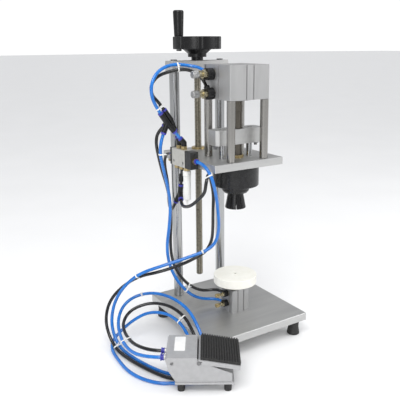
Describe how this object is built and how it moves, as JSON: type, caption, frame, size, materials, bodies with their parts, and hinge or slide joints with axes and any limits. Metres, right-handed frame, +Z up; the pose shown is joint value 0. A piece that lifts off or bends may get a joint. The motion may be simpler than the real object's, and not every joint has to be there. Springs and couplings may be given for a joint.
{
  "type": "bottle capping machine",
  "caption": "Pneumatic benchtop crimping machine for perfume bottles, with a handwheel-set head on two columns, a lifting bottle pad and a foot pedal.",
  "frame": {"origin": "point on the supporting surface straight under the crimping axis", "axes": "+Z up along the crimping axis, +Y from the operator towards the columns, +X to the operator's right"},
  "size_m": [0.4682, 0.461, 0.8106],
  "materials": {
    "plate_aluminium": "brushed",
    "rubber": "matte",
    "chrome_steel": "polished",
    "ground_steel": "satin",
    "screw_steel": "satin",
    "brass": "dull",
    "black_plastic": "satin",
    "dark_steel": "oiled",
    "block_aluminium": "satin anodised",
    "black_steel": "satin",
    "nylon": "satin",
    "knob_silver": "knurled",
    "valve_silver": "satin",
    "valve_black": "satin",
    "blue_tube": "gloss",
    "black_tube": "gloss",
    "collar_blue": "gloss",
    "silencer_white": "matte",
    "pedal_paint": "hammered"
  },
  "bodies": {
    "base": {"base_plate": "plate_aluminium", "base_feet": "rubber", "columns": "chrome_steel", "frame_screws": "screw_steel", "top_bar": "plate_aluminium", "screw_bearing": "brass", "lift_cylinder": "block_aluminium", "lift_flow_bodies": "black_plastic", "lift_flow_stems": "brass", "pedal_base": "pedal_paint", "pedal_feet": "rubber", "pedal_housing": "pedal_paint", "pedal_valve": "valve_silver", "pedal_pin": "screw_steel", "hose_lift_top": "blue_tube", "hose_lift_bottom": "black_tube", "hose_pilot": "blue_tube", "hose_supply": "black_tube"},
    "head": {"head_plate": "plate_aluminium", "column_bushes": "brass", "screw_nut": "brass", "pillars": "ground_steel", "head_screws": "screw_steel", "cylinder_body": "block_aluminium", "rod_cover": "block_aluminium", "guide_bush": "ground_steel", "collet_carrier": "ground_steel", "collet": "black_steel", "speed_bodies": "black_plastic", "speed_stems": "brass", "valve_body": "valve_silver", "valve_caps": "valve_black", "valve_fittings": "brass", "valve_elbows": "black_plastic", "y_fittings": "black_plastic", "valve_tubes": "black_tube", "tube_collars": "collar_blue", "silencer": "silencer_white", "hose_cylinder_top": "blue_tube", "hose_cylinder_bottom": "black_tube", "hose_inlet": "black_tube"},
    "wheel": {"handwheel": "black_plastic", "handle_bolt": "screw_steel", "lead_screw": "dark_steel"},
    "grip": {"handle_grip": "black_plastic"},
    "ram": {"piston": "block_aluminium", "piston_rod": "dark_steel", "crosshead": "plate_aluminium", "push_rods": "chrome_steel", "stop_screws": "screw_steel", "crimp_ring": "black_steel"},
    "lift": {"lift_rod": "dark_steel", "bottle_pad": "nylon"},
    "lever": {"pedal_lever": "pedal_paint", "pedal_pad": "rubber"},
    "spool": {"valve_spool": "valve_black"},
    "knob_cu": {"speed_knob_upper": "knob_silver"},
    "knob_cl": {"speed_knob_lower": "knob_silver"},
    "knob_lu": {"lift_knob_upper": "knob_silver"},
    "knob_ll": {"lift_knob_lower": "knob_silver"}
  },
  "joints": [
    {"name": "head_slide", "type": "slide", "parent": "base", "child": "head", "axis": [0, 0, 1], "range_m": [-0.12, 0.05], "deforming": ["hose_lift_top", "hose_lift_bottom", "hose_pilot", "hose_supply"]},
    {"name": "wheel_turn", "type": "hinge", "parent": "base", "child": "wheel", "pos_m": [-0.012, 0.1545, 0.731], "axis": [0, 0, 1], "range_deg": [-4510, 10810]},
    {"name": "handle_spin", "type": "hinge", "parent": "wheel", "child": "grip", "pos_m": [-0.051, 0.1789, 0.78], "axis": [0, 0, 1], "continuous": true},
    {"name": "crimp_stroke", "type": "slide", "parent": "head", "child": "ram", "axis": [0, 0, -1], "range_m": [0, 0.012]},
    {"name": "pad_lift", "type": "slide", "parent": "base", "child": "lift", "axis": [0, 0, 1], "range_m": [0, 0.025]},
    {"name": "pedal_press", "type": "hinge", "parent": "base", "child": "lever", "pos_m": [-0.2043, -0.1514, 0.07], "axis": [0.5373, 0.8434, 0], "range_deg": [0, 10], "stiffness_Nm_per_rad": 3, "springref_deg": -20.05},
    {"name": "valve_shift", "type": "slide", "parent": "head", "child": "spool", "axis": [0, 1, 0], "range_m": [0, 0.005]},
    {"name": "knob_cu_turn", "type": "hinge", "parent": "head", "child": "knob_cu", "pos_m": [-0.065, 0.016, 0.6615], "axis": [1, 0, 0], "range_deg": [-1440, 1440]},
    {"name": "knob_cl_turn", "type": "hinge", "parent": "head", "child": "knob_cl", "pos_m": [-0.065, 0.016, 0.617], "axis": [1, 0, 0], "range_deg": [-1440, 1440]},
    {"name": "knob_lu_turn", "type": "hinge", "parent": "base", "child": "knob_lu", "pos_m": [-0.034, -0.003, 0.11], "axis": [1, 0, 0], "range_deg": [-1440, 1440]},
    {"name": "knob_ll_turn", "type": "hinge", "parent": "base", "child": "knob_ll", "pos_m": [-0.034, -0.003, 0.083], "axis": [1, 0, 0], "range_deg": [-1440, 1440]}
  ],
  "couplings": [
    {"joint": "wheel_turn", "follows": "head_slide", "rad_per_m": -1570.8}
  ]
}
